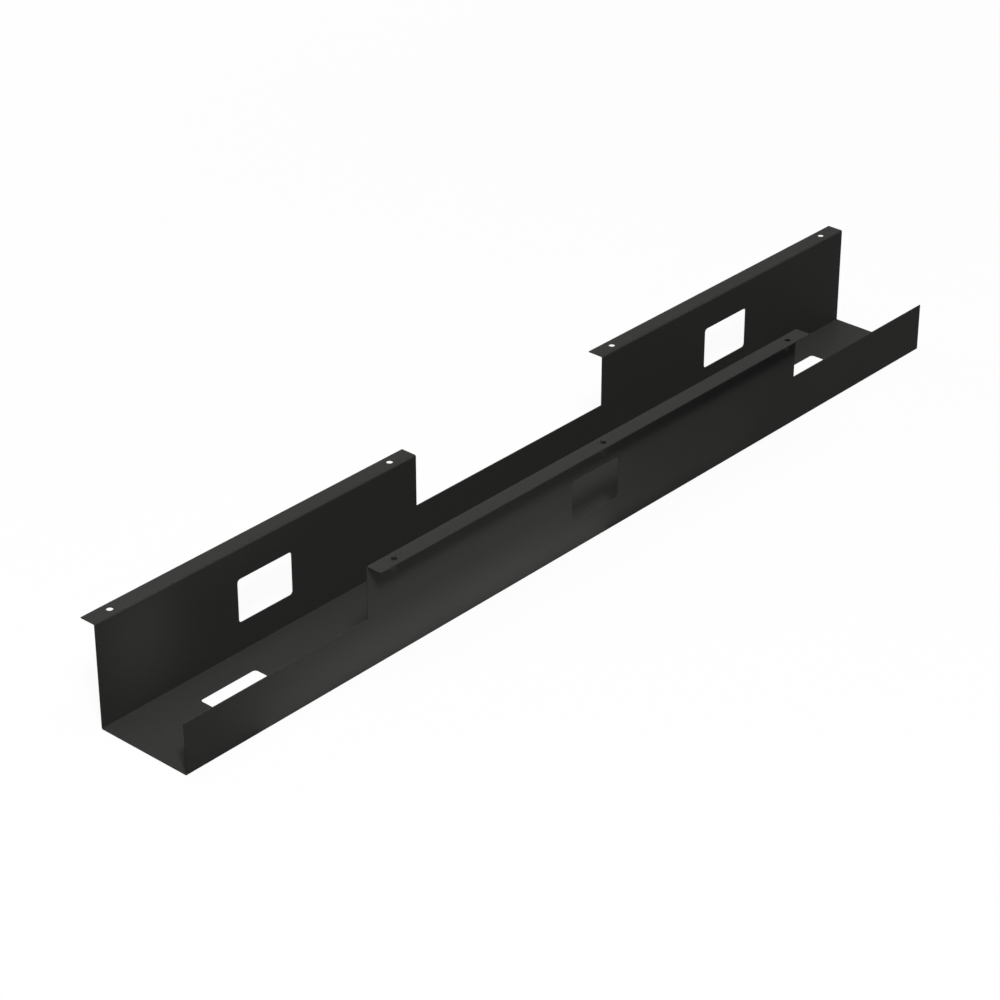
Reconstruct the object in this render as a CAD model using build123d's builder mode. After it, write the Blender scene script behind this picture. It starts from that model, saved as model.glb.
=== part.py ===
"""Under-desk cable tray: one steel sheet folded into an open channel with screw flanges.

The channel lies along X. The front wall faces -Y and the desk top rests on the flanges at the top.
The origin is at the middle of the underside. The panels of the folded sheet meet face to face at
the lines where each bend becomes flat.
"""
from build123d import *
import os

os.makedirs("parts", exist_ok=True)

# Channel, in millimetres
length = 1200
width = 120
height = 120
sheet = 1.2
bend_inner = 0.6

# Walls: the back wall has a notch at mid-length, the front wall is tall at mid-length only
low_wall_height = 59
notch_length = 303
raised_length = 700
cut_corner = 1

# Flanges that the screws go through, measured outwards from the wall's outer face
flange_width = 19
hole_diameter = 7
hole_from_wall = 9.5
hole_from_flange_end = 29

# Windows that cables pass through, one punch for all five
window_length = 76
window_width = 50
window_corner = 4
window_centre_height = 59.5
back_window_from_end = 225
bottom_window_from_end = 135.5
bottom_window_from_front = 59.5

# Sizes that follow from these
bend_outer = bend_inner + sheet
flange_underside = height - sheet
flange_start = width / 2 + bend_inner
flange_flat = flange_width - bend_inner
flange_middle = flange_start + flange_flat / 2
back_flange_length = (length - notch_length) / 2
back_flange_x = (length + notch_length) / 4
back_window_x = length / 2 - back_window_from_end
bottom_window_x = length / 2 - bottom_window_from_end
bottom_window_y = bottom_window_from_front - width / 2
hole_line = width / 2 + hole_from_wall
outer_hole_x = length / 2 - hole_from_flange_end
inner_hole_x = notch_length / 2 + hole_from_flange_end
front_hole_x = raised_length / 2 - hole_from_flange_end
cut_reach = width


def cable_windows(*places):
    """Outline of the rounded cable window at each place of the open sketch."""
    with Locations(*places):
        RectangleRounded(window_length, window_width, window_corner)


def wall_section():
    """Section of the back wall above its foot bend, with the bend at its top, one sheet thick."""
    with BuildSketch(Plane.YZ) as section:
        with BuildLine():
            upright = Line((width / 2, bend_outer), (width / 2, height - bend_outer))
            JernArc(upright @ 1, tangent=upright % 1, radius=bend_inner, arc_size=-90)
            offset(amount=sheet, side=Side.LEFT)
        make_face()
    return section.sketch


def flange_blank(middle_x, side, blank_length):
    """Outline of a flange beyond its bend, on the back (side 1) or the front (side -1)."""
    with BuildSketch(Plane.XY.offset(flange_underside)) as blank:
        with Locations((middle_x, side * flange_middle)):
            Rectangle(blank_length, flange_flat)
    return blank.sketch


def screw_holes(side, *places):
    """Drill the open flange at each place along its length."""
    with Locations(*[(x, side * hole_line, height) for x in places]):
        Hole(hole_diameter / 2)


# Bottom of the channel with the foot bends of both walls, and a cable window near each end
with BuildPart() as bottom_panel:
    with BuildSketch(Plane.YZ):
        with BuildLine():
            front_bend = JernArc((-width / 2, bend_outer), tangent=(0, -1), radius=bend_outer, arc_size=90)
            flat = Line(front_bend @ 1, (width / 2 - bend_outer, 0))
            JernArc(flat @ 1, tangent=flat % 1, radius=bend_outer, arc_size=90)
            offset(amount=sheet, side=Side.LEFT)
        make_face()
    extrude(amount=length / 2, both=True)
    with BuildSketch(Plane.XY):
        cable_windows((-bottom_window_x, bottom_window_y), (bottom_window_x, bottom_window_y))
    extrude(amount=sheet, mode=Mode.SUBTRACT)

# Back wall, full height at both ends and cut down between them
with BuildPart() as back_wall:
    extrude(wall_section(), amount=length / 2, both=True)
    with BuildSketch(Plane.XZ) as back_outline:
        Rectangle(length, height, align=(Align.CENTER, Align.MIN))
        with Locations((0, low_wall_height)):
            Rectangle(notch_length, height, align=(Align.CENTER, Align.MIN), mode=Mode.SUBTRACT)
        fillet(back_outline.vertices().group_by(Axis.Y)[1], radius=cut_corner)
    extrude(amount=cut_reach, both=True, mode=Mode.INTERSECT)
    with BuildSketch(Plane.XZ):
        cable_windows((-back_window_x, window_centre_height), (back_window_x, window_centre_height))
    extrude(amount=cut_reach, both=True, mode=Mode.SUBTRACT)

# Front wall, low at both ends and raised between them
with BuildPart() as front_wall:
    extrude(mirror(wall_section(), about=Plane.XZ, mode=Mode.PRIVATE), amount=length / 2, both=True)
    with BuildSketch(Plane.XZ) as front_outline:
        Rectangle(length, low_wall_height, align=(Align.CENTER, Align.MIN))
        Rectangle(raised_length, height, align=(Align.CENTER, Align.MIN))
        step_corners = front_outline.vertices().group_by(Axis.Y)[1].sort_by(Axis.X)[1:3]
        fillet(step_corners, radius=cut_corner)
    extrude(amount=cut_reach, both=True, mode=Mode.INTERSECT)
    with BuildSketch(Plane.XZ):
        cable_windows((0, window_centre_height))
    extrude(amount=cut_reach, both=True, mode=Mode.SUBTRACT)

# Flanges, folded outwards from the tops of the walls
with BuildPart() as back_flange_left:
    extrude(flange_blank(-back_flange_x, 1, back_flange_length), amount=sheet)
    screw_holes(1, -outer_hole_x, -inner_hole_x)

with BuildPart() as back_flange_right:
    extrude(flange_blank(back_flange_x, 1, back_flange_length), amount=sheet)
    screw_holes(1, inner_hole_x, outer_hole_x)

with BuildPart() as front_flange:
    extrude(flange_blank(0, -1, raised_length), amount=sheet)
    screw_holes(-1, -front_hole_x, 0, front_hole_x)

panels = {
    "bottom_panel": bottom_panel,
    "back_wall": back_wall,
    "front_wall": front_wall,
    "back_flange_left": back_flange_left,
    "back_flange_right": back_flange_right,
    "front_flange": front_flange,
}
for name, panel in panels.items():
    panel.part.label = name
    export_step(panel.part, f"parts/{name}.step")
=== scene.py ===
"""Looks of the folded cable tray: six coated panels of one sheet, a pale studio floor and soft light.

The sheet is drawn as its flat blank and then folded. u runs along the tray and s runs across the
blank, from 0 at the middle of the bottom, up the back wall for s > 0 and up the front wall for s < 0.
"""
import math

import bpy
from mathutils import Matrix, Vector, geometry


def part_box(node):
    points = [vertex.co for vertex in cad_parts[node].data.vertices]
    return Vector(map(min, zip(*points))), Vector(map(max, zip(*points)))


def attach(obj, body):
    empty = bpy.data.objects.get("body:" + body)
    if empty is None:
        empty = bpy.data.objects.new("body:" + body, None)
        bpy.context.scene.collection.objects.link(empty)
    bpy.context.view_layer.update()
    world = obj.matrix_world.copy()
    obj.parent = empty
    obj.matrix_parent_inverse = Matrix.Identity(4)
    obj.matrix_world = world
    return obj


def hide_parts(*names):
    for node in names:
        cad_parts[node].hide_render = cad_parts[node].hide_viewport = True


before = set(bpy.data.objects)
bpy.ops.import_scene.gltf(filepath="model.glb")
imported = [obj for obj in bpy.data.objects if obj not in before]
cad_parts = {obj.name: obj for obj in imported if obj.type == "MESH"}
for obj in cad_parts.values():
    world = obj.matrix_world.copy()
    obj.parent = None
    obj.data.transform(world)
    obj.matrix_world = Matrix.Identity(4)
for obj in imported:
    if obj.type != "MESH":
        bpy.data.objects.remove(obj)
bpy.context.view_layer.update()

# Sizes read from the frame, in metres
bottom_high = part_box("bottom_panel")[1]
wall_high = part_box("back_wall")[1]
flange_low, flange_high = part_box("front_flange")
back_flange_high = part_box("back_flange_left")[1]
half_length = bottom_high.x
half_width = bottom_high.y
height = wall_high.z
bend_outer = bottom_high.z
sheet = flange_high.z - flange_low.z
half_raised = flange_high.x
half_notch = -back_flange_high.x
flange_flat = flange_high.y - flange_low.y

# Sizes that the boxes of the panels don't show, in metres
LOW_WALL = 0.059
WINDOW = (0.076, 0.050)
WINDOW_CORNER = 0.004
CUT_CORNER = 0.001
WINDOW_HEIGHT = 0.0595
BACK_WINDOW_FROM_END = 0.225
BOTTOM_WINDOW_FROM_END = 0.1355
BOTTOM_WINDOW_FROM_FRONT = 0.0595
HOLE_RADIUS = 0.0035
HOLE_FROM_WALL = 0.0095
HOLE_FROM_FLANGE_END = 0.029

# How finely round stretches are divided, and the soft edge that the coat gives the cut sheet
BEND_STEPS = 14
CORNER_STEPS = 10
HOLE_STEPS = 40
EDGE_RADIUS = 0.00034
EDGE_SEGMENTS = 4
SHARP_TURN = math.radians(40)
TINY = 1e-6

# Way of dividing a flat outline: into few valid polygons, with its holes left open
HOLES_LEFT_OPEN = 5

# Coat: gloss, darkest and lightest colour, lowest and highest roughness, and the noises that vary them.
# The scales of the noises are per metre, and the depths of the relief are in metres.
COAT_GLOSS = 0.012
COAT_COLOURS = ((0.0338, 0.0336, 0.0324, 1), (0.0490, 0.0487, 0.0470, 1))
COAT_ROUGHNESS = (0.44, 0.54)
NOISE_RANGE = (0.3, 0.7)
GRAIN = {"scale": 900, "detail": 3}
GRAIN_DEPTH = 0.00003
PEEL = {"scale": 260, "detail": 2}
PEEL_DEPTH = 0.00005
CLOUDS = {"scale": 9, "detail": 4, "roughness": 0.6}

# Places along the section of the sheet, measured on its middle surface
bend_middle = bend_outer - sheet / 2
bend_run = bend_middle * math.pi / 2
s_foot = half_width - bend_outer
s_wall = s_foot + bend_run
s_top = s_wall + height - 2 * bend_outer
s_flange = s_top + bend_run
s_edge = s_flange + flange_flat


def s_at_height(z):
    """Place on the blank of a height on the upright part of a wall."""
    return s_wall + z - bend_outer


def fold(u, s, depth):
    """Point of the folded tray. depth 0 is the outside of the channel and 1 the inside."""
    side = -1 if s < 0 else 1
    a = abs(s)
    lift = (depth - 0.5) * sheet
    if a <= s_foot:
        y, z = a, sheet / 2 + lift
    elif a <= s_wall:
        turn = (a - s_foot) / bend_middle
        y = s_foot + (bend_middle - lift) * math.sin(turn)
        z = bend_outer - (bend_middle - lift) * math.cos(turn)
    elif a <= s_top:
        y, z = half_width - sheet / 2 - lift, bend_outer + a - s_wall
    elif a <= s_flange:
        turn = (a - s_top) / bend_middle
        y = half_width - sheet / 2 + bend_middle - (bend_middle + lift) * math.cos(turn)
        z = height - bend_outer + (bend_middle + lift) * math.sin(turn)
    else:
        y = half_width - sheet / 2 + bend_middle + a - s_flange
        z = height - sheet / 2 + lift
    return Vector((u, side * y, z))


def rounded(corners):
    """Closed outline through (u, s, radius) corners, with an arc wherever the radius isn't 0."""
    points = []
    for i, (u, s, radius) in enumerate(corners):
        here = Vector((u, s))
        if not radius:
            points.append(here)
            continue
        before = (Vector(corners[i - 1][:2]) - here).normalized()
        after = (Vector(corners[(i + 1) % len(corners)][:2]) - here).normalized()
        centre = here + (before + after) * radius
        for k in range(CORNER_STEPS + 1):
            turn = math.pi / 2 * k / CORNER_STEPS
            points.append(centre - after * radius * math.cos(turn) - before * radius * math.sin(turn))
    return points


def rectangle(u0, u1, s0, s1):
    """Outline of a rectangle with sharp corners."""
    return [Vector(corner) for corner in ((u0, s0), (u1, s0), (u1, s1), (u0, s1))]


def window(u, s):
    """Outline of a cable window with its middle at (u, s)."""
    a, b = WINDOW[0] / 2, WINDOW[1] / 2
    return rounded([(u + i * a, s + j * b, WINDOW_CORNER) for i, j in ((-1, -1), (1, -1), (1, 1), (-1, 1))])


def screw_hole(u, s):
    """Outline of a screw hole."""
    turns = [2 * math.pi * k / HOLE_STEPS for k in range(HOLE_STEPS)]
    return [Vector((u + HOLE_RADIUS * math.cos(t), s + HOLE_RADIUS * math.sin(t))) for t in turns]


def counter_clockwise(ring, place=tuple):
    """The ring turned so that its area is positive. place gives the (u, s) of an item."""
    spots = [place(item) for item in ring]
    area = sum(a[0] * b[1] - b[0] * a[1] for a, b in zip(spots, spots[1:] + spots[:1]))
    return ring if area > 0 else ring[::-1]


def flat_faces(outline, holes):
    """Points and polygons of a flat outline with holes in it."""
    points = counter_clockwise(outline)
    loops = [list(range(len(points)))]
    for hole in holes:
        loops.append(list(range(len(points), len(points) + len(hole))))
        points = points + counter_clockwise(hole)
    made = geometry.delaunay_2d_cdt(points, [], loops, HOLES_LEFT_OPEN, TINY)
    return [tuple(p) for p in made[0]], [list(f) for f in made[2]]


def bend_faces(strips):
    """Points and quads of bend strips, each (u from, u to, s from, s to)."""
    points, faces = [], []
    for u0, u1, s0, s1 in strips:
        start = len(points)
        for k in range(BEND_STEPS + 1):
            s = s0 + (s1 - s0) * k / BEND_STEPS
            points += [(u0, s), (u1, s)]
        faces += [[start + 2 * k + n for n in (0, 1, 3, 2)] for k in range(BEND_STEPS)]
    return points, faces


def joined(parts):
    """One list of points and of polygons, with the points that lie in one place shared."""
    index, points, faces = {}, [], []
    for part_points, part_faces in parts:
        own = []
        for p in part_points:
            key = (round(p[0] / TINY), round(p[1] / TINY))
            if key not in index:
                index[key] = len(points)
                points.append(p)
            own.append(index[key])
        faces += [[own[i] for i in f] for f in part_faces]
    return points, faces


def mark_edges(mesh, points, rim, seams):
    """Weight the edges of a panel that get the soft edge, and keep those at its seams sharp."""
    count = len(points)
    on_seam = {a: any(abs(points[a][1] - s) < TINY and abs(points[b][1] - s) < TINY for s in seams)
               for a, b in rim.items()}
    before = {b: a for a, b in rim.items()}
    soft = set()
    for a, b in rim.items():
        if on_seam[a]:
            continue
        soft |= {frozenset((a, b)), frozenset((a + count, b + count))}
        into = Vector(points[a]) - Vector(points[before[a]])
        out_of = Vector(points[b]) - Vector(points[a])
        if not on_seam[before[a]] and into.angle(out_of) > SHARP_TURN:
            soft.add(frozenset((a, a + count)))
    seam_rim = {frozenset((a + n, b + n)) for a, b in rim.items() if on_seam[a] for n in (0, count)}
    weight = mesh.attributes.new("bevel_weight_edge", "FLOAT", "EDGE")
    for edge in mesh.edges:
        ends = frozenset(edge.vertices)
        weight.data[edge.index].value = float(ends in soft)
        edge.use_edge_sharp = ends in seam_rim


def panel(name, outline, holes=(), strips=(), seams=()):
    """Make the closed coated panel of the sheet that stands for the CAD node of that name."""
    points, faces = joined([flat_faces(outline, holes), bend_faces(strips)])
    faces = [counter_clockwise(f, points.__getitem__) for f in faces]
    count = len(points)
    directed = {(a, b) for f in faces for a, b in zip(f, f[1:] + f[:1])}
    rim = {a: b for a, b in directed if (b, a) not in directed}
    vertices = [fold(*p, 0) for p in points] + [fold(*p, 1) for p in points]
    polygons = [f[::-1] for f in faces] + [[i + count for i in f] for f in faces]
    polygons += [[a, b, b + count, a + count] for a, b in rim.items()]
    mesh = bpy.data.meshes.new(name)
    mesh.from_pydata(vertices, [], polygons)
    if mesh.validate():
        raise ValueError(f"the mesh of {name} had faults")
    mark_edges(mesh, points, rim, seams)
    mesh.shade_smooth()

    piece = bpy.data.objects.new(f"coated_{name}", mesh)
    bpy.context.scene.collection.objects.link(piece)
    mesh.materials.append(powder_coat())
    bevel = piece.modifiers.new("soft_edge", "BEVEL")
    bevel.limit_method = "WEIGHT"
    bevel.width = EDGE_RADIUS
    bevel.segments = EDGE_SEGMENTS
    bevel.use_clamp_overlap = False
    normals = piece.modifiers.new("even_shading", "WEIGHTED_NORMAL")
    normals.keep_sharp = True
    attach(piece, "root")
    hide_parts(name)


def powder_coat():
    """Satin black powder coat: fine grain over a faint orange peel, with slight changes in gloss."""
    made = bpy.data.materials.get("powder_coat_satin_black")
    if made:
        return made
    made = bpy.data.materials.new("powder_coat_satin_black")
    made.use_nodes = True
    nodes, links = made.node_tree.nodes, made.node_tree.links
    shader = nodes["Principled BSDF"]
    shader.inputs["Specular IOR Level"].default_value = COAT_GLOSS
    place = nodes.new("ShaderNodeTexCoord").outputs["Object"]

    def noise(scale, detail, roughness=0.5):
        texture = nodes.new("ShaderNodeTexNoise")
        texture.inputs["Scale"].default_value = scale
        texture.inputs["Detail"].default_value = detail
        texture.inputs["Roughness"].default_value = roughness
        links.new(place, texture.inputs["Vector"])
        return texture.outputs["Fac"]

    def ranged(value, to_low, to_high):
        stretch = nodes.new("ShaderNodeMapRange")
        stretch.inputs["From Min"].default_value, stretch.inputs["From Max"].default_value = NOISE_RANGE
        stretch.inputs["To Min"].default_value = to_low
        stretch.inputs["To Max"].default_value = to_high
        links.new(value, stretch.inputs["Value"])
        return stretch.outputs["Result"]

    def bump(value, distance, below=None):
        relief = nodes.new("ShaderNodeBump")
        relief.inputs["Strength"].default_value = 1.0
        relief.inputs["Distance"].default_value = distance
        links.new(value, relief.inputs["Height"])
        if below:
            links.new(below, relief.inputs["Normal"])
        return relief.outputs["Normal"]

    grain = noise(**GRAIN)
    peel = noise(**PEEL)
    clouds = noise(**CLOUDS)
    colour = nodes.new("ShaderNodeMix")
    colour.data_type = "RGBA"
    colour.inputs["A"].default_value, colour.inputs["B"].default_value = COAT_COLOURS
    links.new(ranged(grain, 0, 1), colour.inputs["Factor"])
    links.new(colour.outputs["Result"], shader.inputs["Base Color"])
    links.new(ranged(clouds, *COAT_ROUGHNESS), shader.inputs["Roughness"])
    links.new(bump(grain, GRAIN_DEPTH, bump(peel, PEEL_DEPTH)), shader.inputs["Normal"])
    return made


def make_tray():
    """The six panels of the sheet."""
    low = s_at_height(LOW_WALL)
    end, notch, raised = half_length, half_notch, half_raised
    wall_window_s = s_at_height(WINDOW_HEIGHT)
    back_window_u = half_length - BACK_WINDOW_FROM_END
    bottom_window_u = half_length - BOTTOM_WINDOW_FROM_END
    bottom_window_s = BOTTOM_WINDOW_FROM_FRONT - half_width
    hole_s = s_flange + HOLE_FROM_WALL - (bend_outer - sheet)
    outer_hole = half_length - HOLE_FROM_FLANGE_END
    inner_hole = half_notch + HOLE_FROM_FLANGE_END
    front_hole = half_raised - HOLE_FROM_FLANGE_END

    panel("bottom_panel",
          rectangle(-end, end, -s_foot, s_foot),
          holes=[window(u, bottom_window_s) for u in (-bottom_window_u, bottom_window_u)],
          strips=[(-end, end, -s_wall, -s_foot), (-end, end, s_foot, s_wall)],
          seams=(-s_wall, s_wall))
    panel("back_wall",
          rounded([(-end, s_wall, 0), (end, s_wall, 0), (end, s_top, 0), (notch, s_top, 0),
                   (notch, low, CUT_CORNER), (-notch, low, CUT_CORNER),
                   (-notch, s_top, 0), (-end, s_top, 0)]),
          holes=[window(u, wall_window_s) for u in (-back_window_u, back_window_u)],
          strips=[(-end, -notch, s_top, s_flange), (notch, end, s_top, s_flange)],
          seams=(s_wall, s_flange))
    panel("front_wall",
          rounded([(-end, -s_wall, 0), (end, -s_wall, 0), (end, -low, 0), (raised, -low, CUT_CORNER),
                   (raised, -s_top, 0), (-raised, -s_top, 0), (-raised, -low, CUT_CORNER), (-end, -low, 0)]),
          holes=[window(0, -wall_window_s)],
          strips=[(-raised, raised, -s_top, -s_flange)],
          seams=(-s_wall, -s_flange))
    flanges = (("back_flange_left", -end, -notch, 1, (-outer_hole, -inner_hole)),
               ("back_flange_right", notch, end, 1, (inner_hole, outer_hole)),
               ("front_flange", -raised, raised, -1, (-front_hole, 0, front_hole)))
    for name, u0, u1, side, hole_places in flanges:
        panel(name,
              rectangle(u0, u1, side * s_flange, side * s_edge),
              holes=[screw_hole(u, side * hole_s) for u in hole_places],
              seams=(side * s_flange,))


# Camera, at the photograph's place
CAMERA_PLACE = (-2.2161, -1.8943, 1.6790)
CAMERA_AIM = (-0.0856, 0.0, 0.0601)
CAMERA_LENS = 111.59
CAMERA_REACH = 100

# Floor: half its side and its drop below the tray, its colour in bounced light and to the eye, and its
# share of plain white near the tray, which grows to 1 between the two distances
FLOOR_HALF = 15
FLOOR_DROP = 0.0005
FLOOR_COLOURS = (0.04, 0.98)
FLOOR_ROUGHNESS = 0.9
FLOOR_GLOSS = 0.1
WHITE_SHARE = 0.93
WHITE_FADE = (0.8, 3.0)

# Light: places, sizes and powers of the lamps. The glows lie just above the floor and shine upwards.
WHITE = (1, 1, 1, 1)
SKY_STRENGTH = 0.02
KEY = {"place": (-2.24, -2.432, 4.091), "aim": (-0.05, 0, 0.05), "size": (0.9, 0.9), "power": 172}
OVERHEAD = {"place": (-0.05, 0, 5.25), "aim": (-0.05, 0, 0.05), "size": (5, 5), "power": 133}
BACK_FILL = {"place": (0, 3.3, 0.55), "aim": (0, 0, 0.06), "size": (2.4, 0.8), "power": 36}
PATCH_PLACE = (-0.825, -1.612, 1.134)
PATCH_AIM = (-0.545, 0.0588, 0.078)
PATCH_POWER = 40
PATCH_CONE = math.radians(3.6)
PATCH_SOFTNESS = 0.03
GLOWS = (
    {"low": (-0.54, -0.193), "high": (0.26, -0.073), "power": 0.086},
    {"low": (-0.46, -0.193), "high": (0.12, -0.073), "power": 0.053},
    {"low": (-0.40, -0.193), "high": (-0.08, -0.073), "power": 0.024},
    {"low": (-0.50, -0.411), "high": (0.02, -0.061), "power": 0.445},
)
GLOW_HEIGHT = 0.0004
GLOW_AIM_HEIGHT = 1


def make_camera():
    """Camera at the photograph's angle and distance."""
    camera = bpy.data.objects.new("camera", bpy.data.cameras.new("camera"))
    bpy.context.scene.collection.objects.link(camera)
    camera.location = CAMERA_PLACE
    look = Vector(CAMERA_AIM) - Vector(CAMERA_PLACE)
    camera.rotation_euler = look.to_track_quat("-Z", "Y").to_euler()
    camera.data.lens = CAMERA_LENS
    camera.data.clip_end = CAMERA_REACH
    bpy.context.scene.camera = camera


def seen_directly(tree):
    """1 for what the camera sees by itself, in a reflection or through glass, and 0 for bounced light."""
    path = tree.nodes.new("ShaderNodeLightPath")
    total = path.outputs["Is Camera Ray"]
    for name in ("Is Glossy Ray", "Is Transmission Ray"):
        add = tree.nodes.new("ShaderNodeMath")
        add.operation = "ADD"
        add.use_clamp = True
        tree.links.new(total, add.inputs[0])
        tree.links.new(path.outputs[name], add.inputs[1])
        total = add.outputs["Value"]
    return total


def floor_paint():
    """Pale paint that is near white to the eye and keeps the tray's shadow."""
    paint = bpy.data.materials.new("pale_floor")
    paint.use_nodes = True
    tree = paint.node_tree
    shader = tree.nodes["Principled BSDF"]
    shader.inputs["Roughness"].default_value = FLOOR_ROUGHNESS
    shader.inputs["Specular IOR Level"].default_value = FLOOR_GLOSS
    seen = seen_directly(tree)
    colour = tree.nodes.new("ShaderNodeMapRange")
    colour.inputs["To Min"].default_value, colour.inputs["To Max"].default_value = FLOOR_COLOURS
    tree.links.new(seen, colour.inputs["Value"])
    tree.links.new(colour.outputs["Result"], shader.inputs["Base Color"])
    away = tree.nodes.new("ShaderNodeVectorMath")
    away.operation = "LENGTH"
    tree.links.new(tree.nodes.new("ShaderNodeTexCoord").outputs["Object"], away.inputs[0])
    fade = tree.nodes.new("ShaderNodeMapRange")
    fade.interpolation_type = "SMOOTHSTEP"
    fade.inputs["From Min"].default_value, fade.inputs["From Max"].default_value = WHITE_FADE
    fade.inputs["To Min"].default_value, fade.inputs["To Max"].default_value = WHITE_SHARE, 1
    tree.links.new(away.outputs["Value"], fade.inputs["Value"])
    share = tree.nodes.new("ShaderNodeMath")
    share.operation = "MULTIPLY"
    tree.links.new(seen, share.inputs[0])
    tree.links.new(fade.outputs["Result"], share.inputs[1])
    white = tree.nodes.new("ShaderNodeEmission")
    mix = tree.nodes.new("ShaderNodeMixShader")
    tree.links.new(share.outputs["Value"], mix.inputs["Fac"])
    tree.links.new(shader.outputs["BSDF"], mix.inputs[1])
    tree.links.new(white.outputs["Emission"], mix.inputs[2])
    tree.links.new(mix.outputs["Shader"], tree.nodes["Material Output"].inputs["Surface"])
    return paint


def make_floor():
    """Square floor just below the tray."""
    mesh = bpy.data.meshes.new("floor")
    a = FLOOR_HALF
    mesh.from_pydata([(-a, -a, 0), (a, -a, 0), (a, a, 0), (-a, a, 0)], [], [(0, 1, 2, 3)])
    floor = bpy.data.objects.new("floor", mesh)
    bpy.context.scene.collection.objects.link(floor)
    floor.location.z = -FLOOR_DROP
    mesh.materials.append(floor_paint())


def make_world():
    """Surroundings that are white to the eye and give the tray only a little light."""
    world = bpy.data.worlds.new("studio")
    bpy.context.scene.world = world
    world.use_nodes = True
    tree = world.node_tree
    sky = tree.nodes["Background"]
    sky.inputs["Color"].default_value = WHITE
    sky.inputs["Strength"].default_value = SKY_STRENGTH
    white = tree.nodes.new("ShaderNodeBackground")
    white.inputs["Color"].default_value = WHITE
    mix = tree.nodes.new("ShaderNodeMixShader")
    tree.links.new(seen_directly(tree), mix.inputs["Fac"])
    tree.links.new(sky.outputs["Background"], mix.inputs[1])
    tree.links.new(white.outputs["Background"], mix.inputs[2])
    tree.links.new(mix.outputs["Shader"], tree.nodes["World Output"].inputs["Surface"])


def lamp(name, kind, place, aim, power):
    """Lamp of a kind that isn't seen itself, turned towards its aim."""
    light = bpy.data.lights.new(name, kind)
    light.energy = power
    holder = bpy.data.objects.new(name, light)
    bpy.context.scene.collection.objects.link(holder)
    holder.location = place
    holder.rotation_euler = (Vector(aim) - Vector(place)).to_track_quat("-Z", "Y").to_euler()
    holder.visible_camera = False
    return light


def soft_box(name, place, aim, size, power):
    """Rectangular soft lamp."""
    light = lamp(name, "AREA", place, aim, power)
    light.shape = "RECTANGLE"
    light.size, light.size_y = size


def make_lamps():
    """Soft boxes, the glow of the floor in front of the tray and a faint patch on the back wall."""
    soft_box("key", **KEY)
    soft_box("overhead", **OVERHEAD)
    soft_box("back_fill", **BACK_FILL)
    for i, glow in enumerate(GLOWS, 1):
        (x0, y0), (x1, y1) = glow["low"], glow["high"]
        middle = ((x0 + x1) / 2, (y0 + y1) / 2)
        place, aim = (*middle, GLOW_HEIGHT), (*middle, GLOW_AIM_HEIGHT)
        soft_box(f"floor_glow_{i}", place, aim, (x1 - x0, y1 - y0), glow["power"])
    patch = lamp("patch", "SPOT", PATCH_PLACE, PATCH_AIM, PATCH_POWER)
    patch.spot_size = PATCH_CONE
    patch.spot_blend = 1
    patch.shadow_soft_size = PATCH_SOFTNESS


make_tray()
make_camera()
make_floor()
make_world()
make_lamps()
bpy.context.scene.view_settings.view_transform = "Standard"
